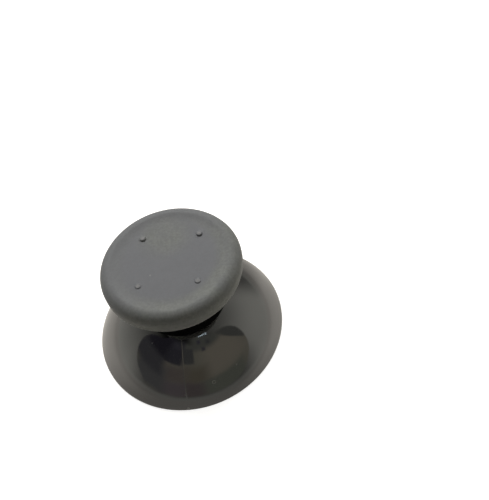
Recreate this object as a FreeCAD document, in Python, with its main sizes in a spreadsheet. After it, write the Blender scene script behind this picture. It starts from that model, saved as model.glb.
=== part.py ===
import FreeCAD, Part
import math
import os
from types import SimpleNamespace

import Sketcher
from FreeCAD import Placement, Rotation, Vector

# Analog stick of a game controller, in millimetres. A hollow glossy dome carries a neck, a disc and a
# post socket, all moulded in one piece. A rubber thumb pad is moulded round the disc.
# +Z is up. The origin is the middle of the flat rim that the dome ends in, and the dome's mould seam
# lies in the plane x = 0.

# Driving sizes
SIZES = {
    # Dome, neck and disc
    "base_radius": 13.0,
    "rim_band": 0.45,
    "rim_round": 0.12,
    "dome_rise": 7.84,
    "dome_wall": 1.2,
    "neck_radius": 4.7,
    "neck_root_round": 0.8,
    "neck_top_round": 0.7,
    "disc_thickness": 1.2,
    # Boss with the socket for the joystick post, and its gussets
    "boss_wall": 1.4,
    "boss_recess": 0.8,
    "post_radius": 2.0,
    "post_flats": 3.0,
    "post_clearance": 0.02,
    "socket_depth": 9.2,
    "socket_lead_in": 0.3,
    "gusset_thickness": 0.9,
    "gusset_inset": 4.0,
    "gusset_foot": 2.4,
    # Thumb pad
    "pad_radius": 9.1,
    "pad_bottom": 12.45,
    "pad_edge_round": 1.7,
    "pad_edge_band": 0.45,
    "pad_crest_round": 1.4,
    "dish_depth": 0.15,
    "dish_cove": 7.0,
    "pad_side": 1.6,
    "lip_gap": 0.95,
    "lip_thickness": 0.9,
    "pad_clearance": 0.02,
    "nub_radius": 0.42,
    "nub_height": 0.2,
    "nub_edge_round": 0.16,
    "nub_root": 0.3,
    "nub_inset": 3.88,
}
GUSSET_COUNT = 4
NUB_COUNT = 4
DIAGONAL = 45.0
FULL_TURN = 360.0

size = SimpleNamespace(**SIZES)

# Sketch points, and the two sketch axes
START, END, CENTRE = 1, 2, 3
ACROSS, UPRIGHT = -1, -2
ORIGIN = (ACROSS, START)

# Sizes and heights that several features share, as numbers for a sketch's first guess
dome_radius = (size.base_radius**2 + size.dome_rise**2) / (2 * size.dome_rise)
dome_centre = size.rim_band + size.dome_rise - dome_radius
boss_radius = size.post_radius + size.post_clearance + size.boss_wall
disc_radius = size.pad_radius - size.pad_side - size.pad_clearance
disc_bottom = size.pad_bottom + size.lip_thickness + size.pad_clearance
disc_top = disc_bottom + size.disc_thickness
lip_radius = size.neck_radius + size.lip_gap
pad_crest = size.pad_bottom + size.pad_edge_round + size.pad_edge_band + size.pad_crest_round
nub_top = pad_crest - size.dish_depth + size.nub_height

# The same in terms of the driving sizes
DOME_RADIUS = "((sizes.base_radius ^ 2 + sizes.dome_rise ^ 2) / (2 * sizes.dome_rise))"
DOME_CENTRE = "(sizes.rim_band + sizes.dome_rise - " + DOME_RADIUS + ")"
BOSS_RADIUS = "(sizes.post_radius + sizes.post_clearance + sizes.boss_wall)"
DISC_RADIUS = "(sizes.pad_radius - sizes.pad_side - sizes.pad_clearance)"
DISC_BOTTOM = "(sizes.pad_bottom + sizes.lip_thickness + sizes.pad_clearance)"
PAD_CREST = "(sizes.pad_bottom + sizes.pad_edge_round + sizes.pad_edge_band + sizes.pad_crest_round)"
DISH_FLOOR = "(" + PAD_CREST + " - sizes.dish_depth)"
NUB_PLACE = "(sizes.pad_radius - sizes.nub_inset) * sqrt(0.5)"
NUB_FOOT = DISH_FLOOR + " - sizes.nub_root"


def size_sheet(doc):
    sheet = doc.addObject("Spreadsheet::Sheet", "sizes")
    for row, (alias, value) in enumerate(SIZES.items(), start=1):
        sheet.set(f"A{row}", alias)
        sheet.set(f"B{row}", str(value))
        sheet.setAlias(f"B{row}", alias)
    doc.recompute()


def origin_of(body, role):
    return next(item for item in body.Origin.OriginFeatures if item.Role == role)


def add_body(doc, label):
    body = doc.addObject("PartDesign::Body", label)
    body.Label = label
    body.Placement = Placement()
    return body


def add_sketch(body, name, role, turn=0.0, height=None):
    """A sketch on one of the body's own planes, turned about the body's axis or raised along it."""
    sketch = body.newObject("Sketcher::SketchObject", name)
    sketch.AttachmentSupport = (origin_of(body, role), [""])
    sketch.MapMode = "FlatFace"
    if turn:
        sketch.AttachmentOffset = Placement(Vector(0, 0, 0), Rotation(Vector(0, 1, 0), turn))
    if height:
        sketch.setExpression("AttachmentOffset.Base.z", height)
    return sketch


def at(x, y):
    return Vector(x, y, 0)


def line(sketch, start, end):
    return sketch.addGeometry(Part.LineSegment(at(*start), at(*end)), False)


def arc(sketch, centre, radius, start, end):
    """An arc that runs anticlockwise between two angles in radians."""
    circle = Part.Circle(at(*centre), Vector(0, 0, 1), radius)
    return sketch.addGeometry(Part.ArcOfCircle(circle, start, end), False)


def relate(sketch, kind, *where):
    return sketch.addConstraint(Sketcher.Constraint(kind, *where))


def drive(sketch, name, kind, *where, to):
    """A named dimension that follows the size sheet. The last of where is its first guess."""
    index = relate(sketch, kind, *where)
    sketch.renameConstraint(index, name)
    sketch.setExpression("Constraints." + name, to)


def add_revolution(doc, body, name, sketch):
    turned = body.newObject("PartDesign::Revolution", name)
    turned.Profile = sketch
    turned.ReferenceAxis = (sketch, ["V_Axis"])
    turned.Angle = FULL_TURN
    doc.recompute()
    return turned


def add_pattern(doc, body, name, feature, count):
    """Copies of a feature, evenly spaced about the body's axis."""
    pattern = body.newObject("PartDesign::PolarPattern", name)
    pattern.Originals = [feature]
    pattern.Axis = (origin_of(body, "Z_Axis"), [""])
    pattern.Angle = FULL_TURN
    pattern.Occurrences = count
    body.Tip = pattern
    doc.recompute()
    return pattern


def circles_at(shape, radius, height, gap=0.001):
    """Names of the full circles about the body's axis that have this radius and height."""
    names = []
    for index, edge in enumerate(shape.Edges, start=1):
        curve = edge.Curve
        if not isinstance(curve, Part.Circle) or abs(curve.Radius - radius) > gap:
            continue
        centre = curve.Center
        if math.hypot(centre.x, centre.y) < gap and abs(centre.z - height) < gap:
            names.append(f"Edge{index}")
    return names


def edges_level_with(shape, height, reach, gap=0.001):
    """Names of the edges that lie flat at this height and within this distance of the body's axis."""
    names = []
    for index, edge in enumerate(shape.Edges, start=1):
        box = edge.BoundBox
        flat = abs(box.ZMin - height) < gap and abs(box.ZMax - height) < gap
        if flat and max(box.XMax, box.YMax) < reach + gap:
            names.append(f"Edge{index}")
    return names


def add_round(doc, body, name, base, edges, radius):
    rounding = body.newObject("PartDesign::Fillet", name)
    rounding.Base = (base, edges)
    rounding.setExpression("Radius", radius)
    doc.recompute()
    return rounding


def shell_section(body):
    """Half section of the dome shell with its rim, the neck and the disc at the neck's top."""
    inner_radius = dome_radius - size.dome_wall
    rim_inner = math.sqrt(inner_radius**2 - dome_centre**2)
    centre = (0.0, dome_centre)
    outer_low = math.atan2(size.rim_band - dome_centre, size.base_radius)
    outer_high = math.acos(size.neck_radius / dome_radius)
    neck_foot = dome_centre + dome_radius * math.sin(outer_high)
    inner_low = math.asin(-dome_centre / inner_radius)

    sketch = add_sketch(body, "shell_section", "XZ_Plane")
    rim = line(sketch, (rim_inner, 0.0), (size.base_radius, 0.0))
    band = line(sketch, (size.base_radius, 0.0), (size.base_radius, size.rim_band))
    outside = arc(sketch, centre, dome_radius, outer_low, outer_high)
    neck = line(sketch, (size.neck_radius, neck_foot), (size.neck_radius, disc_bottom))
    under = line(sketch, (size.neck_radius, disc_bottom), (disc_radius, disc_bottom))
    edge = line(sketch, (disc_radius, disc_bottom), (disc_radius, disc_top))
    top = line(sketch, (disc_radius, disc_top), (0.0, disc_top))
    middle = line(sketch, (0.0, disc_top), (0.0, dome_centre + inner_radius))
    inside = arc(sketch, centre, inner_radius, inner_low, math.pi / 2)

    outline = (rim, band, outside, neck, under, edge, top, middle)
    for first, second in zip(outline, outline[1:]):
        relate(sketch, "Coincident", first, END, second, START)
    relate(sketch, "Coincident", middle, END, inside, END)
    relate(sketch, "Coincident", inside, START, rim, START)
    relate(sketch, "Coincident", inside, CENTRE, outside, CENTRE)
    relate(sketch, "PointOnObject", outside, CENTRE, UPRIGHT)
    relate(sketch, "PointOnObject", rim, END, ACROSS)
    relate(sketch, "PointOnObject", middle, START, UPRIGHT)
    relate(sketch, "PointOnObject", middle, END, UPRIGHT)
    for level in (rim, under, top):
        relate(sketch, "Horizontal", level)
    for upright in (band, neck, edge):
        relate(sketch, "Vertical", upright)

    drive(sketch, "base", "DistanceX", *ORIGIN, rim, END, size.base_radius, to="sizes.base_radius")
    drive(sketch, "band", "DistanceY", band, START, band, END, size.rim_band, to="sizes.rim_band")
    drive(sketch, "dome", "Radius", outside, dome_radius, to=DOME_RADIUS)
    drive(sketch, "hollow", "Radius", inside, inner_radius, to=DOME_RADIUS + " - sizes.dome_wall")
    drive(sketch, "neck", "DistanceX", *ORIGIN, neck, END, size.neck_radius, to="sizes.neck_radius")
    drive(sketch, "disc", "DistanceX", *ORIGIN, edge, START, disc_radius, to=DISC_RADIUS)
    drive(sketch, "disc_bottom", "DistanceY", *ORIGIN, neck, END, disc_bottom, to=DISC_BOTTOM)
    drive(sketch, "disc_thickness", "DistanceY", edge, START, edge, END, size.disc_thickness,
          to="sizes.disc_thickness")
    return sketch


def add_boss(doc, body):
    """Round boss that hangs from the neck into the hollow, short of the rim."""
    sketch = add_sketch(body, "boss_circle", "XY_Plane", height="sizes.boss_recess")
    circle = sketch.addGeometry(Part.Circle(Vector(), Vector(0, 0, 1), boss_radius), False)
    relate(sketch, "Coincident", circle, CENTRE, *ORIGIN)
    drive(sketch, "boss", "Radius", circle, boss_radius, to=BOSS_RADIUS)
    boss = body.newObject("PartDesign::Pad", "boss")
    boss.Profile = sketch
    boss.setExpression("Length", DISC_BOTTOM + " - sizes.boss_recess")
    doc.recompute()


def add_gussets(doc, body):
    """Webs on the diagonals that tie the boss to the dome. Their outer edge is buried in the wall."""
    radius = dome_radius - size.dome_wall / 2
    centre = (0.0, dome_centre)
    root = boss_radius / 2
    reach = size.base_radius - size.gusset_inset
    low = math.acos(reach / radius)
    high = math.acos(root / radius)
    low_end = (reach, dome_centre + radius * math.sin(low))
    high_end = (root, dome_centre + radius * math.sin(high))

    sketch = add_sketch(body, "gusset_section", "XZ_Plane", turn=DIAGONAL)
    buried = arc(sketch, centre, radius, low, high)
    upright = line(sketch, high_end, (root, size.gusset_foot))
    slope = line(sketch, (root, size.gusset_foot), low_end)
    relate(sketch, "Coincident", buried, END, upright, START)
    relate(sketch, "Coincident", upright, END, slope, START)
    relate(sketch, "Coincident", slope, END, buried, START)
    relate(sketch, "Vertical", upright)
    relate(sketch, "PointOnObject", buried, CENTRE, UPRIGHT)
    drive(sketch, "middle_of_dome", "DistanceY", buried, CENTRE, *ORIGIN, -dome_centre,
          to="-1 * " + DOME_CENTRE)
    drive(sketch, "mid_wall", "Radius", buried, radius, to=DOME_RADIUS + " - sizes.dome_wall / 2")
    drive(sketch, "root", "DistanceX", *ORIGIN, slope, START, root, to=BOSS_RADIUS + " / 2")
    drive(sketch, "foot", "DistanceY", *ORIGIN, slope, START, size.gusset_foot, to="sizes.gusset_foot")
    drive(sketch, "reach", "DistanceX", *ORIGIN, slope, END, reach,
          to="sizes.base_radius - sizes.gusset_inset")

    web = body.newObject("PartDesign::Pad", "gusset")
    web.Profile = sketch
    web.SideType = "Symmetric"
    web.setExpression("Length", "sizes.gusset_thickness")
    doc.recompute()
    return add_pattern(doc, body, "gussets", web, GUSSET_COUNT)


def add_socket(doc, body):
    """Blind hole for a round post with two flats, with a lead-in at its mouth."""
    radius = size.post_radius + size.post_clearance
    flat = size.post_flats / 2 + size.post_clearance
    corner = math.asin(flat / radius)
    reach = radius * math.cos(corner)

    sketch = add_sketch(body, "socket_outline", "XY_Plane", height="sizes.boss_recess")
    right = arc(sketch, (0.0, 0.0), radius, -corner, corner)
    back = line(sketch, (reach, flat), (-reach, flat))
    left = arc(sketch, (0.0, 0.0), radius, math.pi - corner, math.pi + corner)
    front = line(sketch, (-reach, -flat), (reach, -flat))
    outline = (right, back, left, front)
    for first, second in zip(outline, outline[1:] + outline[:1]):
        relate(sketch, "Coincident", first, END, second, START)
    for curve in (right, left):
        relate(sketch, "Coincident", curve, CENTRE, *ORIGIN)
    relate(sketch, "Equal", right, left)
    for level in (back, front):
        relate(sketch, "Horizontal", level)
    drive(sketch, "round", "Radius", right, radius, to="sizes.post_radius + sizes.post_clearance")
    flat_distance = "sizes.post_flats / 2 + sizes.post_clearance"
    drive(sketch, "back_flat", "DistanceY", *ORIGIN, back, START, flat, to=flat_distance)
    drive(sketch, "front_flat", "DistanceY", front, START, *ORIGIN, flat, to=flat_distance)

    before = body.Tip.Shape.Volume
    socket = body.newObject("PartDesign::Pocket", "socket")
    socket.Profile = sketch
    socket.Reversed = True
    socket.setExpression("Length", "sizes.socket_depth")
    doc.recompute()
    section = sketch.Shape.Wires[0]
    expected = Part.Face(section).Area * size.socket_depth
    removed = before - socket.Shape.Volume
    if abs(removed - expected) > 0.01 * expected:
        raise RuntimeError(f"the socket removed {removed:.2f} mm3 where {expected:.2f} was meant")

    mouth = edges_level_with(socket.Shape, size.boss_recess, radius)
    lead_in = body.newObject("PartDesign::Chamfer", "socket_lead_in")
    lead_in.Base = (socket, mouth)
    lead_in.setExpression("Size", "sizes.socket_lead_in")
    doc.recompute()
    return lead_in


def stick_body(doc):
    body = add_body(doc, "stick_body")
    add_revolution(doc, body, "shell", shell_section(body))
    add_boss(doc, body)
    add_gussets(doc, body)
    last = add_socket(doc, body)

    neck_foot = dome_centre + math.sqrt(dome_radius**2 - size.neck_radius**2)
    root = circles_at(last.Shape, size.neck_radius, neck_foot)
    last = add_round(doc, body, "neck_root_round", last, root, "sizes.neck_root_round")
    top = circles_at(last.Shape, size.neck_radius, disc_bottom)
    last = add_round(doc, body, "neck_top_round", last, top, "sizes.neck_top_round")
    rim = circles_at(last.Shape, size.base_radius, 0.0)
    add_round(doc, body, "rim_round", last, rim, "sizes.rim_round")
    return body


def pad_section(body):
    """Half section of the pad: rounded edge, dished top, and the cavity that holds the disc."""
    gap = size.pad_clearance
    edge_radius = size.pad_radius - size.pad_edge_round
    edge_middle = size.pad_bottom + size.pad_edge_round
    crest_radius = size.pad_radius - size.pad_crest_round
    crest_middle = edge_middle + size.pad_edge_band
    floor = crest_middle + size.pad_crest_round - size.dish_depth
    cove_middle = floor + size.dish_cove
    rise = cove_middle - crest_middle
    spread = math.sqrt((size.pad_crest_round + size.dish_cove)**2 - rise**2)
    floor_radius = crest_radius - spread
    lean = math.atan2(spread, rise)
    cavity_top = disc_top + gap
    cavity_bottom = disc_bottom - gap
    cavity_radius = disc_radius + gap

    sketch = add_sketch(body, "pad_section", "XZ_Plane")
    under = line(sketch, (lip_radius, size.pad_bottom), (edge_radius, size.pad_bottom))
    low = arc(sketch, (edge_radius, edge_middle), size.pad_edge_round, -math.pi / 2, 0.0)
    band = line(sketch, (size.pad_radius, edge_middle), (size.pad_radius, crest_middle))
    crest = arc(sketch, (crest_radius, crest_middle), size.pad_crest_round, 0.0, math.pi / 2 + lean)
    cove = arc(sketch, (floor_radius, cove_middle), size.dish_cove, -math.pi / 2, lean - math.pi / 2)
    dish = line(sketch, (floor_radius, floor), (0.0, floor))
    middle = line(sketch, (0.0, floor), (0.0, cavity_top))
    roof = line(sketch, (0.0, cavity_top), (cavity_radius, cavity_top))
    wall = line(sketch, (cavity_radius, cavity_top), (cavity_radius, cavity_bottom))
    ledge = line(sketch, (cavity_radius, cavity_bottom), (lip_radius, cavity_bottom))
    lip = line(sketch, (lip_radius, cavity_bottom), (lip_radius, size.pad_bottom))

    relate(sketch, "Tangent", under, END, low, START)
    relate(sketch, "Tangent", low, END, band, START)
    relate(sketch, "Tangent", band, END, crest, START)
    relate(sketch, "Tangent", crest, END, cove, END)
    relate(sketch, "Tangent", cove, START, dish, START)
    outline = (dish, middle, roof, wall, ledge, lip, under)
    for first, second in zip(outline, outline[1:]):
        relate(sketch, "Coincident", first, END, second, START)
    for level in (under, dish, roof, ledge):
        relate(sketch, "Horizontal", level)
    for upright in (wall, lip):
        relate(sketch, "Vertical", upright)
    relate(sketch, "PointOnObject", middle, START, UPRIGHT)
    relate(sketch, "PointOnObject", middle, END, UPRIGHT)

    drive(sketch, "lip", "DistanceX", *ORIGIN, under, START, lip_radius,
          to="sizes.neck_radius + sizes.lip_gap")
    drive(sketch, "bottom", "DistanceY", *ORIGIN, under, START, size.pad_bottom, to="sizes.pad_bottom")
    drive(sketch, "rounding", "Radius", low, size.pad_edge_round, to="sizes.pad_edge_round")
    drive(sketch, "outside", "DistanceX", *ORIGIN, band, START, size.pad_radius, to="sizes.pad_radius")
    drive(sketch, "band", "DistanceY", band, START, band, END, size.pad_edge_band,
          to="sizes.pad_edge_band")
    drive(sketch, "crest", "Radius", crest, size.pad_crest_round, to="sizes.pad_crest_round")
    drive(sketch, "cove", "Radius", cove, size.dish_cove, to="sizes.dish_cove")
    drive(sketch, "floor", "DistanceY", *ORIGIN, dish, END, floor, to=DISH_FLOOR)
    drive(sketch, "roof", "DistanceY", *ORIGIN, roof, END, cavity_top,
          to=DISC_BOTTOM + " + sizes.disc_thickness + sizes.pad_clearance")
    drive(sketch, "ledge", "DistanceY", *ORIGIN, ledge, START, cavity_bottom,
          to=DISC_BOTTOM + " - sizes.pad_clearance")
    drive(sketch, "cavity", "DistanceX", *ORIGIN, wall, START, cavity_radius,
          to="sizes.pad_radius - sizes.pad_side")
    return sketch


def add_nubs(doc, body):
    """Low round grip nubs with rounded edges, on the diagonals. Their roots are buried in the pad."""
    nub = body.newObject("PartDesign::AdditiveCylinder", "nub")
    nub.AttachmentSupport = (origin_of(body, "XY_Plane"), [""])
    nub.MapMode = "FlatFace"
    nub.setExpression("Radius", "sizes.nub_radius")
    nub.setExpression("Height", "sizes.nub_root + sizes.nub_height")
    nub.setExpression("AttachmentOffset.Base.x", NUB_PLACE)
    nub.setExpression("AttachmentOffset.Base.y", NUB_PLACE)
    nub.setExpression("AttachmentOffset.Base.z", NUB_FOOT)
    doc.recompute()
    nubs = add_pattern(doc, body, "nubs", nub, NUB_COUNT)
    edges = edges_level_with(nubs.Shape, nub_top, size.pad_radius)
    if len(edges) != NUB_COUNT:
        raise RuntimeError(f"{len(edges)} nub edges were found where {NUB_COUNT} were meant")
    add_round(doc, body, "nub_edge_round", nubs, edges, "sizes.nub_edge_round")


def grip_pad(doc):
    body = add_body(doc, "grip_pad")
    add_revolution(doc, body, "cap", pad_section(body))
    add_nubs(doc, body)
    return body


def check(doc, bodies):
    for item in doc.Objects:
        if "Invalid" in item.State or "Error" in item.State:
            raise RuntimeError(f"{item.Label} was not built: {item.State}")
        if item.isDerivedFrom("Sketcher::SketchObject") and item.solve() != 0:
            raise RuntimeError(f"the sketch {item.Label} has no solution")
    for body in bodies:
        shape = body.Shape
        if shape.isNull() or not shape.isValid() or len(shape.Solids) != 1:
            raise RuntimeError(f"{body.Label} is not one valid solid")


def main():
    doc = FreeCAD.newDocument("analog_stick")
    size_sheet(doc)
    bodies = [stick_body(doc), grip_pad(doc)]
    doc.recompute()
    check(doc, bodies)
    os.makedirs("parts", exist_ok=True)
    for body in bodies:
        body.Shape.exportStep(f"parts/{body.Label}.step")
        print(f"{body.Label}: {body.Shape.Volume:.1f} mm3")


main()
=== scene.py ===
import math

import bmesh
import bpy
from mathutils import Matrix, Vector


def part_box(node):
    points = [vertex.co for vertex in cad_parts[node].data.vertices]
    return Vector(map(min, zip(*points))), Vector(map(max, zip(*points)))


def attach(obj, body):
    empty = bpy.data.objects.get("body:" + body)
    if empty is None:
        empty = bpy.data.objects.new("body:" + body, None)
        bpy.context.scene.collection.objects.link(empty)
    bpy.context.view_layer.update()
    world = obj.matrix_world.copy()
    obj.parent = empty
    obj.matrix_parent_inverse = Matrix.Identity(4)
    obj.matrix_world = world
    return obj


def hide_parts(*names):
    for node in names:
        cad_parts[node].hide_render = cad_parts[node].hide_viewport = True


# Analog stick of a game controller, standing on a white floor. Sizes of the stick are in
# millimetres and sizes of the studio in metres. Every mesh is made in metres, in the frame of the
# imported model: +Z up, origin in the middle of the dome's rim, and the dome's mould seam in the
# plane x = 0.
MM = 0.001

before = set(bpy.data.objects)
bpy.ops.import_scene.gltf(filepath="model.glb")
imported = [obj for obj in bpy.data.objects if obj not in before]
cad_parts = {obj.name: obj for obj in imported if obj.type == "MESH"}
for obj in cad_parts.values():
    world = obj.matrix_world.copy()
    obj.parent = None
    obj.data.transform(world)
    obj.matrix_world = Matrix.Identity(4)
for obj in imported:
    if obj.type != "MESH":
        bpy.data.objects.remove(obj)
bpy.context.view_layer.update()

body_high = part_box("stick_body")[1] / MM
pad_low, pad_high = (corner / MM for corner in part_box("grip_pad"))

# Dome, neck and disc
BASE_RADIUS = min(body_high.x, body_high.y)
DISC_TOP = body_high.z
RIM_BAND = 0.45
RIM_ROUND = 0.12
DOME_RISE = 7.84
DOME_WALL = 1.2
NECK_RADIUS = 4.7
NECK_ROOT_ROUND = 0.8
NECK_TOP_ROUND = 0.7
DISC_THICKNESS = 1.2
DISC_BOTTOM = DISC_TOP - DISC_THICKNESS
DOME_RADIUS = (BASE_RADIUS**2 + DOME_RISE**2) / (2 * DOME_RISE)
DOME_CENTRE = RIM_BAND + DOME_RISE - DOME_RADIUS

# Reach of the painted shade on the neck and round its root, a copy of the plastic with little
# gloss, and how far it goes below the dome's surface
NECK_SHADE_RADIUS = 5.9
NECK_SHADE_DEPTH = 0.05

# Raised hairline that the mould's two halves leave on the dome. Its columns are shares of its half
# width, and no other column of the dome comes nearer to it than the free angle. Points this little
# under the dome's surface count as its outside.
SEAM_HALF_WIDTH = 0.07
SEAM_HEIGHT = 0.028
SEAM_LOW = 0.7
SEAM_HIGH = 6.75
SEAM_COLUMNS = (-1.5, -1, -0.6, -0.3, 0, 0.3, 0.6, 1, 1.5)
SEAM_FREE_ANGLE = math.radians(2.0)
SURFACE_SLACK = 0.01

# Boss with the socket for the joystick post, and its gussets
BOSS_WALL = 1.4
BOSS_RECESS = 0.8
BOSS_ROUND = 0.2
POST_RADIUS = 2.02
POST_FLAT = 1.52
SOCKET_DEPTH = 9.2
SOCKET_LEAD_IN = 0.3
SOCKET_OVERCUT = 0.5
GUSSET_THICKNESS = 0.9
GUSSET_INSET = 4.0
GUSSET_FOOT = 2.4
GUSSET_EDGE_ROUND = 0.12
BOSS_RADIUS = POST_RADIUS + BOSS_WALL

# Thumb pad
PAD_RADIUS = min(pad_high.x, pad_high.y)
PAD_BOTTOM = pad_low.z
PAD_EDGE_ROUND = 1.7
PAD_EDGE_BAND = 0.45
PAD_CREST_ROUND = 1.4
PAD_CREST = PAD_BOTTOM + PAD_EDGE_ROUND + PAD_EDGE_BAND + PAD_CREST_ROUND
DISH_DEPTH = 0.15
DISH_COVE = 7.0
DISH_FLOOR = PAD_CREST - DISH_DEPTH
PAD_SIDE = 1.6
LIP_GAP = 0.95
LIP_ROUND = 0.25
PAD_CLEARANCE = 0.02

# Nubs on the dish, with the front ones worn lower
NUB_RADIUS = 0.42
NUB_HEIGHT = 0.2
NUB_EDGE_ROUND = 0.16
NUB_FOOT_ROUND = 0.05
NUB_ROOT = 0.2
NUB_SUNK = 0.004
NUB_INSET = 3.88
NUB_WEAR = 0.1

DIAGONALS = (45, 135, 225, 315)

# How finely curves are cut: degrees to a step of an arc, then columns to a turn and other counts
ARC_STEP = 3.0
DOME_STEP = 1.0
DOME_INSIDE_STEP = 2.0
DISH_STEP = 2.0
SMALL_STEP = 10.0
TINY_STEP = 15.0
TURN_STEPS = 240
NUB_TURN_STEPS = 40
GUSSET_EDGE_STEPS = 3
DISH_RINGS = (0.0, 1.5, 3.0, 4.5)
ON_AXIS = 1e-6
SHARP_ANGLE = math.radians(35)

# Camera, as it stands to the stick in the photograph
PHOTO_SIZE = (489, 500)
OPTICAL_CENTRE = (280, 208)
FOCAL_PIXELS = 650
SENSOR_WIDTH = 36.0
CAMERA_AZIMUTH = math.radians(2.183)
CAMERA_ELEVATION = math.radians(49.082)
CAMERA_ROLL = math.radians(-7.189)
CAMERA_DISTANCE = 96.292 * MM
CAMERA_TARGET = Vector((14.113, 13.530, 8.0)) * MM
CAMERA_NEAREST = 0.005


def arc(centre, radius, start, end, step=ARC_STEP):
    """Points of an arc between two angles in degrees, both ends included."""
    count = max(2, round(abs(end - start) / step))
    points = []
    for index in range(count + 1):
        angle = math.radians(start + (end - start) * index / count)
        x = centre[0] + radius * math.cos(angle)
        y = centre[1] + radius * math.sin(angle)
        points.append((x, y))
    return points


def direction(azimuth, elevation):
    """Unit vector of a direction in degrees, seen from the stick."""
    azimuth = math.radians(azimuth)
    elevation = math.radians(elevation)
    flat = math.cos(elevation)
    return Vector((flat * math.cos(azimuth), flat * math.sin(azimuth), math.sin(elevation)))


def even_angles(count):
    return [2 * math.pi * index / count for index in range(count)]


def seam_angles(radius):
    """Even angles, with narrow columns beside the plane x = 0 that make the seam's ridge."""
    reach = max(radius, NECK_RADIUS)
    seams = (math.pi / 2, 3 * math.pi / 2)
    angles = []
    for seam in seams:
        angles += [seam + SEAM_HALF_WIDTH * share / reach for share in SEAM_COLUMNS]
    for angle in even_angles(TURN_STEPS):
        if min(abs(angle - seam) for seam in seams) > SEAM_FREE_ANGLE:
            angles.append(angle)
    return sorted(angles)


def lathe(section, angles_at=lambda radius: even_angles(TURN_STEPS)):
    """Closed bmesh turned about the Z axis from a half section that begins and ends on it."""
    shape = bmesh.new()
    rings = []
    for radius, height in section:
        if radius < ON_AXIS:
            rings.append([shape.verts.new((0, 0, height * MM))])
            continue
        ring = []
        for angle in angles_at(radius):
            place = Vector((radius * math.cos(angle), radius * math.sin(angle), height))
            ring.append(shape.verts.new(place * MM))
        rings.append(ring)
    for first, second in zip(rings, rings[1:]):
        count = max(len(first), len(second))
        for index in range(count):
            following = (index + 1) % count
            corners = [first[index % len(first)], second[index % len(second)]]
            if len(second) > 1:
                corners.append(second[following])
            if len(first) > 1:
                corners.append(first[following])
            shape.faces.new(corners)
    bmesh.ops.recalc_face_normals(shape, faces=shape.faces)
    return shape


def bridge(shape, first, second):
    """Adds the faces between two closed rows of as many points."""
    for index in range(len(first)):
        following = (index + 1) % len(first)
        shape.faces.new((first[index], first[following], second[following], second[index]))


def add_object(name, shape):
    """Object made of a bmesh, which is used up."""
    mesh = bpy.data.meshes.new(name)
    shape.to_mesh(mesh)
    shape.free()
    piece = bpy.data.objects.new(name, mesh)
    bpy.context.scene.collection.objects.link(piece)
    return piece


def combine(target, operation, tool_shape):
    """Joins a closed shape to a piece, or cuts it out of the piece."""
    tool = add_object("tool", tool_shape)
    change = target.modifiers.new("combine", "BOOLEAN")
    change.operation = operation
    change.solver = "EXACT"
    change.object = tool
    result = target.evaluated_get(bpy.context.evaluated_depsgraph_get())
    mesh = bpy.data.meshes.new_from_object(result)
    target.modifiers.clear()
    target.data = mesh
    bpy.data.objects.remove(tool)


def finish_surface(piece, material):
    """Gives the whole piece one material, and shades it smooth between its sharp edges."""
    piece.data.materials.clear()
    piece.data.materials.append(material)
    for face in piece.data.polygons:
        face.material_index = 0
    piece.data.shade_smooth()
    piece.data.set_sharp_from_angle(angle=SHARP_ANGLE)


# Stick body
def body_section():
    """Half section of the shell, from the disc's top down the outside and up the inside."""
    root_radius = NECK_RADIUS + NECK_ROOT_ROUND
    root_rise = math.sqrt((DOME_RADIUS + NECK_ROOT_ROUND)**2 - root_radius**2)
    root_centre = (root_radius, DOME_CENTRE + root_rise)
    root_angle = math.degrees(math.atan2(root_rise, root_radius))
    top_centre = (NECK_RADIUS + NECK_TOP_ROUND, DISC_BOTTOM - NECK_TOP_ROUND)
    disc_radius = PAD_RADIUS - PAD_SIDE - PAD_CLEARANCE
    dome_foot = math.degrees(math.atan2(RIM_BAND - DOME_CENTRE, BASE_RADIUS))
    dome_centre = (0.0, DOME_CENTRE)
    inner_radius = DOME_RADIUS - DOME_WALL
    inner_foot = math.degrees(math.asin(-DOME_CENTRE / inner_radius))
    rim_centre = (BASE_RADIUS - RIM_ROUND, RIM_ROUND)

    section = [(0.0, DISC_TOP), (disc_radius, DISC_TOP), (disc_radius, DISC_BOTTOM)]
    section += arc(top_centre, NECK_TOP_ROUND, 90, 180)
    section += arc(root_centre, NECK_ROOT_ROUND, 180, 180 + root_angle)
    section += arc(dome_centre, DOME_RADIUS, root_angle, dome_foot, DOME_STEP)[1:]
    section += arc(rim_centre, RIM_ROUND, 0, -90, TINY_STEP)
    section += arc(dome_centre, inner_radius, inner_foot, 90, DOME_INSIDE_STEP)[:-1]
    section.append((0.0, DOME_CENTRE + inner_radius))
    return section


def raise_seam(shape):
    """Lifts the narrow columns beside the plane x = 0 off the dome, as a thin rounded ridge."""
    centre = Vector((0, 0, DOME_CENTRE * MM))
    for vertex in shape.verts:
        across = abs(vertex.co.x) / (SEAM_HALF_WIDTH * MM)
        height = vertex.co.z / MM
        outside = (vertex.co - centre).length > (DOME_RADIUS - SURFACE_SLACK) * MM
        if across >= 1 or not outside or not SEAM_LOW < height < SEAM_HIGH:
            continue
        ridge = SEAM_HEIGHT * math.cos(math.pi / 2 * across)**2
        vertex.co += (vertex.co - centre).normalized() * ridge * MM


def boss_shape():
    """Round boss under the dome, up to the top of the dome's sphere."""
    top = DOME_CENTRE + DOME_RADIUS
    edge_centre = (BOSS_RADIUS - BOSS_ROUND, BOSS_RECESS + BOSS_ROUND)
    section = [(0.0, BOSS_RECESS)]
    section += arc(edge_centre, BOSS_ROUND, -90, 0, SMALL_STEP)
    section += [(BOSS_RADIUS, top), (0.0, top)]
    return lathe(section)


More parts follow.
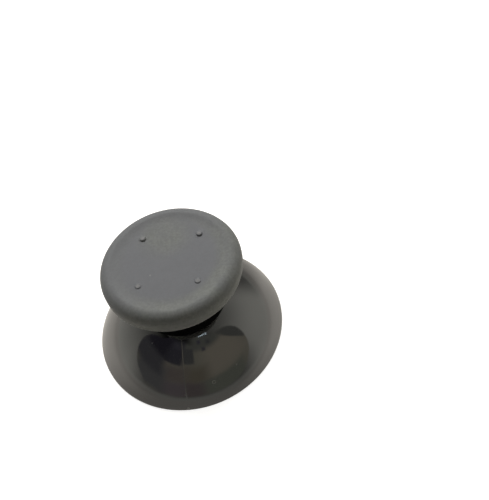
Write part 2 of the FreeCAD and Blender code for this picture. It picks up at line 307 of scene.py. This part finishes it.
def gusset_shape():
    """Four webs on the diagonals between the boss and the dome, with rounded free edges."""
    radius = DOME_RADIUS - DOME_WALL / 2
    reach = BASE_RADIUS - GUSSET_INSET
    root = BOSS_RADIUS / 2
    low = math.degrees(math.acos(reach / radius))
    high = math.degrees(math.acos(root / radius))
    outline = [(root, GUSSET_FOOT)] + arc((0.0, DOME_CENTRE), radius, low, high)
    shape = bmesh.new()
    for diagonal in DIAGONALS:
        turn = Matrix.Rotation(math.radians(diagonal), 3, "Z")
        sides = []
        for side in (-1, 1):
            offset = side * GUSSET_THICKNESS / 2
            corners = [turn @ Vector((across, offset, height)) for across, height in outline]
            sides.append([shape.verts.new(corner * MM) for corner in corners])
        shape.faces.new(sides[0])
        shape.faces.new(sides[1])
        bridge(shape, *sides)
    bmesh.ops.recalc_face_normals(shape, faces=shape.faces)
    creases = [edge for edge in shape.edges if edge.calc_face_angle() > SHARP_ANGLE]
    bmesh.ops.bevel(
        shape,
        geom=creases,
        offset=GUSSET_EDGE_ROUND * MM,
        segments=GUSSET_EDGE_STEPS,
        affect="EDGES",
    )
    return shape


def socket_shape():
    """The post's outline, round with two flats, up to the socket's end and wider at its mouth."""
    flat_end = math.degrees(math.asin(POST_FLAT / POST_RADIUS))
    outline = arc((0, 0), POST_RADIUS, -flat_end, flat_end)
    outline += arc((0, 0), POST_RADIUS, 180 - flat_end, 180 + flat_end)
    levels = (
        (BOSS_RECESS - SOCKET_OVERCUT, SOCKET_LEAD_IN + SOCKET_OVERCUT),
        (BOSS_RECESS + SOCKET_LEAD_IN, 0.0),
        (BOSS_RECESS + SOCKET_DEPTH, 0.0),
    )
    shape = bmesh.new()
    rings = []
    for height, grown in levels:
        x_scale = (POST_RADIUS + grown) / POST_RADIUS
        y_scale = (POST_FLAT + grown) / POST_FLAT
        corners = [Vector((x * x_scale, y * y_scale, height)) for x, y in outline]
        rings.append([shape.verts.new(corner * MM) for corner in corners])
    for lower, upper in zip(rings, rings[1:]):
        bridge(shape, lower, upper)
    shape.faces.new(rings[0])
    shape.faces.new(rings[-1])
    bmesh.ops.recalc_face_normals(shape, faces=shape.faces)
    return shape


def paint_neck_shade(piece, material):
    """Paints shade on the neck and the crease round its root, with a copy of the plastic that has
    little gloss.
    """
    piece.data.materials.append(material)
    for face in piece.data.polygons:
        middle = face.center / MM
        radius = math.hypot(middle.x, middle.y)
        if radius >= NECK_SHADE_RADIUS:
            continue
        surface = DOME_CENTRE + math.sqrt(DOME_RADIUS**2 - radius**2)
        if middle.z > surface - NECK_SHADE_DEPTH:
            face.material_index = 1


def make_body(glossy, neck_shade):
    shell = lathe(body_section(), seam_angles)
    raise_seam(shell)
    piece = add_object("stick_shell", shell)
    combine(piece, "UNION", boss_shape())
    combine(piece, "UNION", gusset_shape())
    combine(piece, "DIFFERENCE", socket_shape())
    finish_surface(piece, glossy)
    paint_neck_shade(piece, neck_shade)
    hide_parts("stick_body")
    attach(piece, "root")


# Thumb pad
def pad_section():
    """Half section of the pad, from the dish's middle over the edge and round the cavity."""
    edge_radius = PAD_RADIUS - PAD_EDGE_ROUND
    edge_middle = PAD_BOTTOM + PAD_EDGE_ROUND
    crest_radius = PAD_RADIUS - PAD_CREST_ROUND
    crest_middle = PAD_CREST - PAD_CREST_ROUND
    cove_middle = DISH_FLOOR + DISH_COVE
    rise = cove_middle - crest_middle
    spread = math.sqrt((PAD_CREST_ROUND + DISH_COVE)**2 - rise**2)
    lean = math.degrees(math.atan2(spread, rise))
    lip_radius = NECK_RADIUS + LIP_GAP
    lip_centre = (lip_radius + LIP_ROUND, PAD_BOTTOM + LIP_ROUND)
    cavity_radius = PAD_RADIUS - PAD_SIDE
    cavity_top = DISC_TOP + PAD_CLEARANCE
    cavity_bottom = DISC_BOTTOM - PAD_CLEARANCE

    section = [(radius, DISH_FLOOR) for radius in DISH_RINGS]
    section += arc((crest_radius - spread, cove_middle), DISH_COVE, -90, lean - 90, DISH_STEP)
    section += arc((crest_radius, crest_middle), PAD_CREST_ROUND, 90 + lean, 0)[1:]
    section += arc((edge_radius, edge_middle), PAD_EDGE_ROUND, 0, -90)
    section += arc(lip_centre, LIP_ROUND, 270, 180, TINY_STEP)
    section += [(lip_radius, cavity_bottom), (cavity_radius, cavity_bottom)]
    section += [(cavity_radius, cavity_top), (0.0, cavity_top)]
    return section


def nub_shape():
    """Small round grip nubs on the dish, each with a soft foot and a root inside the pad."""
    foot = NUB_RADIUS + NUB_FOOT_ROUND
    edge_centre = (NUB_RADIUS - NUB_EDGE_ROUND, NUB_HEIGHT - NUB_EDGE_ROUND)
    section = [(0.0, NUB_HEIGHT)]
    section += arc(edge_centre, NUB_EDGE_ROUND, 90, 0, SMALL_STEP)
    section += arc((foot, NUB_FOOT_ROUND), NUB_FOOT_ROUND, 180, 270, TINY_STEP)[1:]
    section += [(foot, -NUB_ROOT), (0.0, -NUB_ROOT)]
    shape = bmesh.new()
    for diagonal in DIAGONALS:
        middle = direction(diagonal, 0) * (PAD_RADIUS - NUB_INSET)
        middle.z = DISH_FLOOR - NUB_SUNK - (NUB_WEAR if middle.y < 0 else 0)
        nub = lathe(section, lambda radius: even_angles(NUB_TURN_STEPS))
        nub.transform(Matrix.Translation(middle * MM))
        mesh = bpy.data.meshes.new("nub")
        nub.to_mesh(mesh)
        nub.free()
        shape.from_mesh(mesh)
        bpy.data.meshes.remove(mesh)
    return shape


def make_pad(material):
    piece = add_object("thumb_pad", lathe(pad_section()))
    combine(piece, "UNION", nub_shape())
    finish_surface(piece, material)
    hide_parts("grip_pad")
    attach(piece, "root")


# Materials
RUBBER_COLOUR = (0.162, 0.1645, 0.172, 1)
# Warmer colour of the worn ring, partly painted highlight, and of the painted sheen
RUBBER_WEAR_AND_SHEEN_COLOUR = (0.175, 0.18, 0.166, 1)
# Painted shade on the pad's underside
RUBBER_UNDERSIDE_SHADE = (0.09, 0.09, 0.09, 1)
RUBBER_ROUGHNESS = 0.6
RUBBER_ROUGHNESS_SPREAD = 0.05
RUBBER_SPECULAR = 0.25
RUBBER_SHEEN = 0.15
RUBBER_SHEEN_ROUGHNESS = 0.35
PLASTIC_COLOUR = (0.006, 0.006, 0.006, 1)
PLASTIC_COLOUR_2 = (0.008, 0.008, 0.0078, 1)
PLASTIC_ROUGHNESS = 0.07
PLASTIC_ROUGHNESS_SPREAD = 0.02
PLASTIC_IOR = 2.0
PLASTIC_SPECULAR = 0.72
NECK_SPECULAR = 0.04

# Noises, each with its waves to a millimetre, its detail and its roughness
RUBBER_MOTTLE = (0.5, 3.0, 0.6)
RUBBER_GRAIN = (7.0, 3.0, 0.65)
RUBBER_SPECKLE = (2.8, 2.0, 0.6)
RUBBER_DIMPLES = (2.2, 2.0, 0.5)
PLASTIC_SMUDGES = (0.35, 3.0, 0.6)
PLASTIC_SPECKLE = (5.0, 2.0, 0.5)
PLASTIC_WAVES = (0.5, 1.0, 0.5)
# Values that a noise mostly stays between, and narrower and wider ones
NOISE_SPAN = (0.3, 0.7)
NOISE_NARROW_SPAN = (0.35, 0.65)
NOISE_WIDE_SPAN = (0.25, 0.75)
# Heights of the bumps, in millimetres
RUBBER_BUMP = 0.003
SPECKLE_BUMP = 0.0004
WAVE_BUMP = 0.006

# How far the noises lighten and darken the rubber, and how much of its speckle is left outside the
# worn ring and the painted sheen
MOTTLE_SPREAD = 0.02
SPECKLE_SPREAD = 0.1
SPECKLE_ELSEWHERE = 0.2
GRAIN_SPREAD = 0.03
# Wear of the rubber in a ring round the dish, partly painted highlight where it is lighter towards
# the front right: distances from the axis, the side it is on with the distances that way, its
# least share, and the middle and spread of its patches, which the patch of painted sheen shares
# too
RING_WEAR_AND_HIGHLIGHT = (5.4, 6.8)
RING_HIGHLIGHT_TOWARDS = (-40, 0)
RING_HIGHLIGHT_REACH = (-3.0, 5.0)
RING_LEAST = 0.3
WEAR_AND_SHEEN_PATCHES = (0.8, 0.2)
# Heights over the pad's bottom between which the painted shade of the underside ends
UNDERSIDE_SHADE_REACH = (0.02, 0.1)

# Patch of painted sheen, painted highlights on the nubs' tops, and small marks: the place in
# millimetres, and the distances from it between which the mark fades
PAINTED_SHEEN_PATCH = ((-0.9, 4.0, 15.85), 1.2, 4.6)
NUB_TOP_HIGHLIGHT_REACH = (0.12, 0.36)
NUB_TOP_HIGHLIGHT_COLOUR = (0.224, 0.22, 0.217, 1)
PAD_FLECK = ((-2.29, -2.2, 15.85), 0.05, 0.17)
PAD_FLECK_COLOUR = (0.236, 0.231, 0.224, 1)
PAD_NICK = ((-8.93, 1.7, 14.23), 0.06, 0.16)
PAD_NICK_COLOUR = (0.02, 0.02, 0.02, 1)
DOME_FLECKS = (
    ((6.71, -8.76, 3.3), 0.05, 0.14),
    ((-3.99, -6.16, 6.33), 0.05, 0.14),
)
DOME_RING_PLACE = (3.69, -10.75, 2.91)
DOME_RING_INSIDE = (0.09, 0.17)
DOME_RING_OUTSIDE = (0.2, 0.3)
DOME_MARK_COLOUR = (0.12, 0.12, 0.115, 1)
RIM_NICK = ((-0.03, -12.97, 0.51), 0.1, 0.22)
RIM_NICK_COLOUR = (0.3, 0.3, 0.29, 1)
SEAM_DOT = ((-0.2, -11.88, 2.25), 0.05, 0.14)
SEAM_DOT_ROUGHNESS = 0.5

FLAT = (1, 1, 0)
WHITE = (1, 1, 1, 1)


class Nodes:
    """Short ways to add nodes to a material or to the world."""

    def __init__(self, owner):
        owner.use_nodes = True
        self.tree = owner.node_tree
        self.tree.nodes.clear()

    def add(self, kind, inputs=None, **settings):
        item = self.tree.nodes.new("ShaderNode" + kind)
        for name, value in settings.items():
            setattr(item, name, value)
        for name, value in (inputs or {}).items():
            if isinstance(value, bpy.types.NodeSocket):
                self.tree.links.new(value, item.inputs[name])
            else:
                item.inputs[name].default_value = value
        return item

    def math(self, operation, first, second=0.0, clamp=False):
        inputs = {0: first, 1: second}
        return self.add("Math", inputs, operation=operation, use_clamp=clamp).outputs[0]

    def degrees(self, radians):
        return self.math("MULTIPLY", radians, 180 / math.pi)

    def vector(self, operation, first, second=(0, 0, 0)):
        item = self.add("VectorMath", {0: first, 1: second}, operation=operation)
        is_number = operation in ("DISTANCE", "DOT_PRODUCT", "LENGTH")
        return item.outputs["Value" if is_number else "Vector"]

    def scale(self, vector, factor):
        item = self.add("VectorMath", {0: vector, "Scale": factor}, operation="SCALE")
        return item.outputs["Vector"]

    def blend(self, factor, first, second):
        mixed = self.add("Mix", {0: factor, 6: first, 7: second}, data_type="RGBA")
        return mixed.outputs[2]

    def ease(self, value, low, high, start=0.0, end=1.0):
        """Runs smoothly from start to end while the value goes from low to high."""
        inputs = {
            "Value": value,
            "From Min": low,
            "From Max": high,
            "To Min": start,
            "To Max": end,
        }
        return self.add("MapRange", inputs, interpolation_type="SMOOTHSTEP").outputs["Result"]

    def fade(self, value, low, high):
        """Runs smoothly from 1 to 0 while the value goes from low to high."""
        return self.ease(value, low, high, 1.0, 0.0)

    def vary(self, noise, middle, spread, span=NOISE_SPAN):
        """Runs from the spread below the middle to the spread above it, as the noise does."""
        return self.ease(noise, *span, middle - spread, middle + spread)

    def millimetres(self):
        """Place on the stick, in millimetres."""
        return self.scale(self.add("TexCoord").outputs["Object"], 1 / MM)

    def noise(self, place, scale, detail, roughness):
        inputs = {"Vector": place, "Scale": scale, "Detail": detail, "Roughness": roughness}
        return self.add("TexNoise", inputs).outputs["Fac"]

    def spot(self, place, middle, inner, outer):
        """1 within the inner distance of a point, 0 beyond the outer one."""
        return self.fade(self.vector("DISTANCE", place, middle), inner, outer)

    def radius(self, place):
        """Distance from the stick's axis."""
        return self.vector("LENGTH", self.vector("MULTIPLY", place, FLAT))

    def depth(self, towards):
        """-1 for a direction to the front, 0 to a side, 1 to the back, at any elevation."""
        flat = self.vector("NORMALIZE", self.vector("MULTIPLY", towards, FLAT))
        return self.add("SeparateXYZ", {0: flat}).outputs["Y"]

    def side_level(self, depth, front):
        """The sides' level, or the front's one to the front and straight back."""
        past_front = self.ease(depth, *SIDE_FRONT)
        before_back = self.fade(depth, *SIDE_BACK)
        share = self.math("MULTIPLY", past_front, before_back)
        return self.math("ADD", self.math("MULTIPLY", share, SIDE_LEVEL - front), front)

    def bump(self, height, distance, normal=None):
        """Distance in millimetres for a height from 0 to 1."""
        inputs = {"Height": height, "Distance": distance * MM, "Strength": 1.0}
        if normal:
            inputs["Normal"] = normal
        return self.add("Bump", inputs).outputs["Normal"]

    def surface(self, shader):
        self.add("OutputMaterial", {"Surface": shader.outputs[0]})


def rubber_material():
    """Matte grey rubber: fine grain, faint mottling, a warmer worn ring round the dish that is
    partly painted highlight, painted sheen, painted highlights on the nubs and painted shade
    underneath.
    """
    material = bpy.data.materials.new("grey_rubber")
    nodes = Nodes(material)
    place = nodes.millimetres()
    mottle = nodes.noise(place, *RUBBER_MOTTLE)
    grain = nodes.noise(place, *RUBBER_GRAIN)
    speckle = nodes.noise(place, *RUBBER_SPECKLE)

    # Worn ring round the dish, partly painted highlight: it is lighter towards the front right
    ring = nodes.ease(nodes.radius(place), *RING_WEAR_AND_HIGHLIGHT)
    towards_highlight = nodes.vector("DOT_PRODUCT", place, direction(*RING_HIGHLIGHT_TOWARDS))
    ring = nodes.math("MULTIPLY", ring, nodes.ease(towards_highlight, *RING_HIGHLIGHT_REACH, RING_LEAST, 1.0))
    # Painted sheen: a lighter, warmer patch towards the back of the dish
    wear_and_sheen = nodes.math("MAXIMUM", ring, nodes.spot(place, *PAINTED_SHEEN_PATCH))
    wear_and_sheen = nodes.math("MULTIPLY", wear_and_sheen, nodes.vary(mottle, *WEAR_AND_SHEEN_PATCHES))

    colour = nodes.blend(wear_and_sheen, RUBBER_COLOUR, RUBBER_WEAR_AND_SHEEN_COLOUR)
    colour = nodes.blend(nodes.spot(place, *PAD_FLECK), colour, PAD_FLECK_COLOUR)
    colour = nodes.blend(nodes.spot(place, *PAD_NICK), colour, PAD_NICK_COLOUR)
    # Painted highlight: the nubs' tops are lighter
    nub_side = (PAD_RADIUS - NUB_INSET) / math.sqrt(2)
    nub_place = (nub_side, nub_side, DISH_FLOOR + NUB_HEIGHT / 2)
    nub_top_highlight = nodes.spot(nodes.vector("ABSOLUTE", place), nub_place, *NUB_TOP_HIGHLIGHT_REACH)
    colour = nodes.blend(nub_top_highlight, colour, NUB_TOP_HIGHLIGHT_COLOUR)
    # Painted shade: the pad's underside is darker
    height = nodes.add("SeparateXYZ", {0: place}).outputs["Z"]
    underside_shade = nodes.fade(height, *(PAD_BOTTOM + reach for reach in UNDERSIDE_SHADE_REACH))
    colour = nodes.blend(underside_shade, colour, RUBBER_UNDERSIDE_SHADE)

    strength = nodes.math("MULTIPLY", wear_and_sheen, 1 - SPECKLE_ELSEWHERE)
    strength = nodes.math("ADD", strength, SPECKLE_ELSEWHERE)
    shade = nodes.math("MULTIPLY", nodes.vary(speckle, 0.0, SPECKLE_SPREAD), strength)
    shade = nodes.math("ADD", shade, nodes.vary(grain, 0.0, GRAIN_SPREAD))
    shade = nodes.math("ADD", shade, nodes.vary(mottle, 1.0, MOTTLE_SPREAD))

    normal = nodes.bump(nodes.noise(place, *RUBBER_DIMPLES), RUBBER_BUMP)
    nodes.surface(nodes.add("BsdfPrincipled", {
        "Base Color": nodes.scale(colour, shade),
        "Roughness": nodes.vary(
            grain, RUBBER_ROUGHNESS, RUBBER_ROUGHNESS_SPREAD, NOISE_WIDE_SPAN
        ),
        "Normal": nodes.bump(grain, RUBBER_BUMP, normal),
        "Specular IOR Level": RUBBER_SPECULAR,
        "Sheen Weight": RUBBER_SHEEN,
        "Sheen Roughness": RUBBER_SHEEN_ROUGHNESS,
    }))
    return material


def plastic_material(name, specular):
    """Near-black plastic: slight waviness, smudged gloss and a few small marks."""
    material = bpy.data.materials.new(name)
    nodes = Nodes(material)
    place = nodes.millimetres()
    smudge = nodes.noise(place, *PLASTIC_SMUDGES)

    tone = nodes.ease(smudge, *NOISE_NARROW_SPAN)
    colour = nodes.blend(tone, PLASTIC_COLOUR, PLASTIC_COLOUR_2)
    for fleck in DOME_FLECKS:
        colour = nodes.blend(nodes.spot(place, *fleck), colour, DOME_MARK_COLOUR)
    inside = nodes.spot(place, DOME_RING_PLACE, *DOME_RING_INSIDE)
    outside = nodes.spot(place, DOME_RING_PLACE, *DOME_RING_OUTSIDE)
    ring = nodes.math("SUBTRACT", outside, inside)
    colour = nodes.blend(ring, colour, DOME_MARK_COLOUR)
    colour = nodes.blend(nodes.spot(place, *RIM_NICK), colour, RIM_NICK_COLOUR)

    rough = nodes.vary(smudge, PLASTIC_ROUGHNESS, PLASTIC_ROUGHNESS_SPREAD)
    dot = nodes.math("MULTIPLY", nodes.spot(place, *SEAM_DOT), SEAM_DOT_ROUGHNESS)
    normal = nodes.bump(nodes.noise(place, *PLASTIC_WAVES), WAVE_BUMP)
    nodes.surface(nodes.add("BsdfPrincipled", {
        "Base Color": colour,
        "Roughness": nodes.math("ADD", rough, dot),
        "Normal": nodes.bump(nodes.noise(place, *PLASTIC_SPECKLE), SPECKLE_BUMP, normal),
        "IOR": PLASTIC_IOR,
        "Specular IOR Level": specular,
    }))
    return material


# Studio. Directions are azimuth and elevation in degrees, and a depth is what Nodes.depth gives.
FLOOR_SIZE = 3.0
FLOOR_DROP = 0.01 * MM
FLOOR_COLOUR = (0.8, 0.765, 0.7, 1)
FLOOR_GLOW_SEEN = 0.87

# What the dome mirrors of the floor, with a brighter glow near the stick except in front
MIRRORED_COLOUR = (1, 0.95, 0.87, 1)
NEAR_GLOW = 0.22
NEAR_GLOW_REACH = (0.012, 0.06)
NEAR_GLOW_FRONT = (-0.95, -0.5)

KEY_TOWARDS = (102, 46)
KEY_DISTANCE = 0.4
KEY_WIDTH = 0.48
KEY_HEIGHT = 0.12
KEY_RADIANCE = 9.4

# Light of the room: dim in front, brighter towards both sides, and fading upwards. A narrow skirt
# along the floor is as bright as the mirrored floor there, and one soft lobe stands to the right.
ROOM_COLOUR = (1, 0.985, 0.9, 1)
FRONT_LEVEL = 0.15
SKIRT_LEVEL = 0.34
SIDE_LEVEL = 0.69
SIDE_FRONT = (-0.75, -0.1)
SIDE_BACK = (0.55, 0.9)
FADE_ELEVATION = 60
SKIRT_ELEVATIONS = (1, 9)
LOBE_TOWARDS = (18, 50)
LOBE_LEVEL = 0.24
LOBE_ANGLES = (10, 50)


def add_floor():
    """White floor that takes the stick's shadow, and that the dome mirrors as a soft glow."""
    shape = bmesh.new()
    bmesh.ops.create_grid(shape, x_segments=1, y_segments=1, size=FLOOR_SIZE / 2)
    floor = add_object("floor", shape)
    floor.location.z = -FLOOR_DROP
    material = bpy.data.materials.new("white_floor")
    nodes = Nodes(material)
    path = nodes.add("LightPath").outputs
    paper = nodes.add("BsdfDiffuse", {"Color": FLOOR_COLOUR})
    seen = nodes.math("MULTIPLY", path["Is Camera Ray"], FLOOR_GLOW_SEEN)
    glow = nodes.add("Emission", {"Strength": seen})
    lit = nodes.add("AddShader", {0: paper.outputs[0], 1: glow.outputs[0]})

    place = nodes.add("TexCoord").outputs["Object"]
    depth = nodes.depth(place)
    away = nodes.vector("LENGTH", place)
    near = nodes.ease(away, *NEAR_GLOW_REACH, NEAR_GLOW, 0.0)
    near = nodes.math("MULTIPLY", near, nodes.ease(depth, *NEAR_GLOW_FRONT))
    level = nodes.math("ADD", nodes.side_level(depth, SKIRT_LEVEL), near)
    mirrored = nodes.add("Emission", {"Color": MIRRORED_COLOUR, "Strength": level})
    other_ray = nodes.math("MAXIMUM", path["Is Glossy Ray"], path["Is Transmission Ray"])
    shaders = {0: other_ray, 1: lit.outputs[0], 2: mirrored.outputs[0]}
    nodes.surface(nodes.add("MixShader", shaders))
    floor.data.materials.append(material)


def add_world():
    """The room's light, and plain white where the camera sees the room."""
    world = bpy.data.worlds.new("white_room")
    bpy.context.scene.world = world
    nodes = Nodes(world)
    ray = nodes.add("TexCoord").outputs["Generated"]
    height = nodes.add("SeparateXYZ", {0: ray}).outputs["Z"]
    elevation = nodes.degrees(nodes.math("ARCSINE", height))
    fade = nodes.math("DIVIDE", elevation, FADE_ELEVATION)
    fade = nodes.math("SUBTRACT", 1.0, fade, clamp=True)
    depth = nodes.depth(ray)
    level = nodes.math("MULTIPLY", nodes.side_level(depth, FRONT_LEVEL), fade)
    skirt = nodes.fade(elevation, *SKIRT_ELEVATIONS)
    skirt = nodes.math("MULTIPLY", nodes.side_level(depth, SKIRT_LEVEL), skirt)
    level = nodes.math("MAXIMUM", level, skirt)
    along = nodes.vector("DOT_PRODUCT", ray, direction(*LOBE_TOWARDS))
    inner, outer = (math.cos(math.radians(angle)) for angle in LOBE_ANGLES)
    level = nodes.math("ADD", level, nodes.ease(along, outer, inner, 0.0, LOBE_LEVEL))
    seen = nodes.add("Background", {"Color": WHITE, "Strength": 1.0}).outputs[0]
    lit = nodes.add("Background", {"Color": ROOM_COLOUR, "Strength": level}).outputs[0]
    camera_ray = nodes.add("LightPath").outputs["Is Camera Ray"]
    both = nodes.add("MixShader", {0: camera_ray, 1: lit, 2: seen})
    nodes.add("OutputWorld", {"Surface": both.outputs[0]})


def add_key():
    """Wide soft light behind the stick."""
    light = bpy.data.lights.new("key", "AREA")
    light.shape = "RECTANGLE"
    light.size = KEY_WIDTH
    light.size_y = KEY_HEIGHT
    light.energy = KEY_RADIANCE * math.pi * KEY_WIDTH * KEY_HEIGHT
    lamp = bpy.data.objects.new("key", light)
    bpy.context.scene.collection.objects.link(lamp)
    towards = direction(*KEY_TOWARDS)
    lamp.location = towards * KEY_DISTANCE
    lamp.rotation_euler = towards.to_track_quat("Z", "Y").to_euler()


# Card that the dome mirrors in front: its outline as azimuth and elevation, the steps between two
# points of the outline, and the rings of its mesh as shares of the way from its middle
CARD_DISTANCE = 0.5
CARD_OUTLINE = (
    (-143, 63), (-155, 55), (-166, 50), (-172, 44), (-174, 36), (-170, 27), (-164, 20),
    (-157, 15), (-150, 11), (-143, 6), (-131, 4), (-104, 5), (-82, 5), (-59, 5), (-45, 6),
    (-33, 10), (-22, 16), (-15, 21), (-9, 28), (-5, 36), (-4, 43), (-8, 51), (-18, 57),
    (-34, 61), (-60, 68), (-95, 74), (-124, 74),
)
CARD_OUTLINE_STEPS = 6
CARD_MIDDLE = (-88, 35)
CARD_RINGS = (1.0, 0.8, 0.6, 0.4, 0.2)
CARD_COLOUR = (0.28, 0.265, 0.215, 1)
# Soft patches on the card, each laid over the ones before it: middle, half width, half height,
# how far it slants with each degree upwards, softness and colour
CARD_TONES = (
    ((-44, 40), 29, 17, 0, 0.5, (0.35, 0.315, 0.255, 1)),
    ((-80, 66), 56, 12, 0, 0.3, (0.165, 0.168, 0.15, 1)),
    ((-88, 27), 14, 9, 0, 0.7, (0.213, 0.188, 0.143, 1)),
    ((-114, 28), 15, 9, 0, 0.7, (0.205, 0.175, 0.158, 1)),
    ((-114, 12), 16, 8, 0, 0.4, (0.198, 0.17, 0.178, 1)),
    ((-88, 12), 14, 8, 0, 0.4, (0.17, 0.143, 0.14, 1)),
    ((-56, 12), 25, 9, 0, 0.3, (0.205, 0.213, 0.175, 1)),
    ((-143, 18), 19, 13, 0, 0.4, (0.155, 0.155, 0.155, 1)),
    ((-153, 40), 23, 17, 0, 0.25, (0.1, 0.098, 0.107, 1)),
    ((-125, 57), 20, 8, 0, 0.3, (0.085, 0.082, 0.1, 1)),
    ((-120, 47), 13, 8, 0, 0.12, (0.068, 0.066, 0.081, 1)),
    ((-154, 52), 23, 11, 0, 0.35, (0.038, 0.035, 0.048, 1)),
    ((-97, 49), 9, 8, 0, 0.12, (0.115, 0.116, 0.115, 1)),
    ((-9, 46), 13, 17, 0.67, 0.08, (0.14, 0.14, 0.13, 1)),
    ((-137, 74), 43, 11, 0, 0.35, (0.02, 0.02, 0.022, 1)),
    ((-73, 63), 4, 2, 0, 0.5, (0.09, 0.085, 0.115, 1)),
    ((-54, 59), 4, 2, 0, 0.5, (0.1, 0.1, 0.105, 1)),
    ((-68, 54), 3.5, 2, 0, 0.5, (0.09, 0.085, 0.11, 1)),
)

# Row of small bright lights that the dome mirrors close to the neck, a little nearer than the
# card: start, middle and end of the row as azimuth and elevation, and a light's width in degrees
BEAD_DISTANCE = 0.48
BEAD_ROW = ((-67, 68.7), (-56, 68.4), (-46, 67.4))
BEAD_COUNT = 5
BEAD_SIZE = 0.7
BEAD_COLOUR = (0.75, 0.9, 1, 1)
BEAD_LEVEL = 9.0


def rounded_outline(points):
    """Closed smooth curve through the points."""
    rounded = []
    count = len(points)
    for index in range(count):
        nearest = [Vector(points[(index + shift) % count]) for shift in (-1, 0, 1, 2)]
        before, start, end, after = nearest
        for step in range(CARD_OUTLINE_STEPS):
            t = step / CARD_OUTLINE_STEPS
            bend = (2 * before - 5 * start + 4 * end - after) * t**2
            twist = (3 * start - before - 3 * end + after) * t**3
            rounded.append((2 * start + (end - before) * t + bend + twist) / 2)
    return rounded


def card_material():
    """The card's colour with its soft patches, as plain light."""
    material = bpy.data.materials.new("card")
    nodes = Nodes(material)
    place = nodes.add("SeparateXYZ", {0: nodes.add("TexCoord").outputs["Object"]}).outputs
    azimuth = nodes.degrees(nodes.math("ARCTAN2", place["Y"], place["X"]))
    height = nodes.math("DIVIDE", place["Z"], CARD_DISTANCE)
    elevation = nodes.degrees(nodes.math("ARCSINE", height))
    colour = CARD_COLOUR
    for (side, up), half_width, half_height, slant, softness, tone in CARD_TONES:
        upwards = nodes.math("SUBTRACT", elevation, up)
        across = nodes.math("SUBTRACT", azimuth, side)
        across = nodes.math("ADD", across, nodes.math("MULTIPLY", upwards, slant))
        across = nodes.math("ABSOLUTE", nodes.math("DIVIDE", across, half_width))
        upwards = nodes.math("ABSOLUTE", nodes.math("DIVIDE", upwards, half_height))
        reach = nodes.math("MAXIMUM", across, upwards)
        patch = nodes.fade(reach, 1 - softness, 1 + softness)
        colour = nodes.blend(patch, colour, tone)
    nodes.surface(nodes.add("Emission", {"Color": colour, "Strength": 1.0}))
    return material


def hide_from_view(piece):
    """Leaves a piece of the studio to the dome's reflection alone."""
    piece.visible_camera = False
    piece.visible_diffuse = False
    piece.visible_shadow = False


def add_card():
    """Card in front of the stick, curved round it."""
    shape = bmesh.new()
    outline = rounded_outline(CARD_OUTLINE)
    middle = Vector(CARD_MIDDLE)
    rings = []
    for share in CARD_RINGS:
        ring = []
        for point in outline:
            towards = direction(*(middle + (point - middle) * share))
            ring.append(shape.verts.new(towards * CARD_DISTANCE))
        rings.append(ring)
    for outer, inner in zip(rings, rings[1:]):
        bridge(shape, outer, inner)
    shape.faces.new(rings[-1])
    card = add_object("card", shape)
    card.data.materials.append(card_material())
    hide_from_view(card)


def add_beads():
    """The row of small lights, each a square that is turned to the stick."""
    material = bpy.data.materials.new("bead_light")
    nodes = Nodes(material)
    nodes.surface(nodes.add("Emission", {"Color": BEAD_COLOUR, "Strength": BEAD_LEVEL}))
    start, middle, end = (Vector(point) for point in BEAD_ROW)
    bend = middle - (start + end) / 2
    shape = bmesh.new()
    for index in range(BEAD_COUNT):
        t = index / (BEAD_COUNT - 1)
        azimuth, elevation = start + (end - start) * t + bend * 4 * t * (1 - t)
        half_width = BEAD_SIZE / 2 / math.cos(math.radians(elevation))
        half_height = BEAD_SIZE / 2
        bead = []
        for x, y in ((-1, -1), (1, -1), (1, 1), (-1, 1)):
            towards = direction(azimuth + x * half_width, elevation + y * half_height)
            bead.append(shape.verts.new(towards * BEAD_DISTANCE))
        shape.faces.new(bead)
    beads = add_object("beads", shape)
    beads.data.materials.append(material)
    hide_from_view(beads)


def add_camera():
    """Camera at the photograph's viewing angle, with the photograph's framing."""
    side = math.cos(CAMERA_ELEVATION)
    back = Vector((
        math.sin(CAMERA_AZIMUTH) * side,
        -math.cos(CAMERA_AZIMUTH) * side,
        math.sin(CAMERA_ELEVATION),
    ))
    right = (-back).cross(Vector((0, 0, 1))).normalized()
    up = right.cross(-back)
    rolled_right = right * math.cos(CAMERA_ROLL) + up * math.sin(CAMERA_ROLL)
    rolled_up = up * math.cos(CAMERA_ROLL) - right * math.sin(CAMERA_ROLL)
    data = bpy.data.cameras.new("camera")
    longest = max(PHOTO_SIZE)
    data.sensor_width = SENSOR_WIDTH
    data.lens = FOCAL_PIXELS * SENSOR_WIDTH / longest
    data.shift_x = (PHOTO_SIZE[0] / 2 - OPTICAL_CENTRE[0]) / longest
    data.shift_y = (OPTICAL_CENTRE[1] - PHOTO_SIZE[1] / 2) / longest
    data.clip_start = CAMERA_NEAREST
    camera = bpy.data.objects.new("camera", data)
    bpy.context.scene.collection.objects.link(camera)
    turn = Matrix((rolled_right, rolled_up, back)).transposed().to_4x4()
    camera.matrix_world = Matrix.Translation(CAMERA_TARGET + back * CAMERA_DISTANCE) @ turn
    bpy.context.scene.camera = camera


make_body(
    plastic_material("dark_gloss_plastic", PLASTIC_SPECULAR),
    # Copy of the plastic with little gloss, which paints shade on the neck and round its root
    plastic_material("neck_shade_plastic", NECK_SPECULAR),
)
make_pad(rubber_material())
add_floor()
add_world()
add_key()
add_card()
add_beads()
add_camera()
bpy.context.scene.view_settings.view_transform = "Standard"
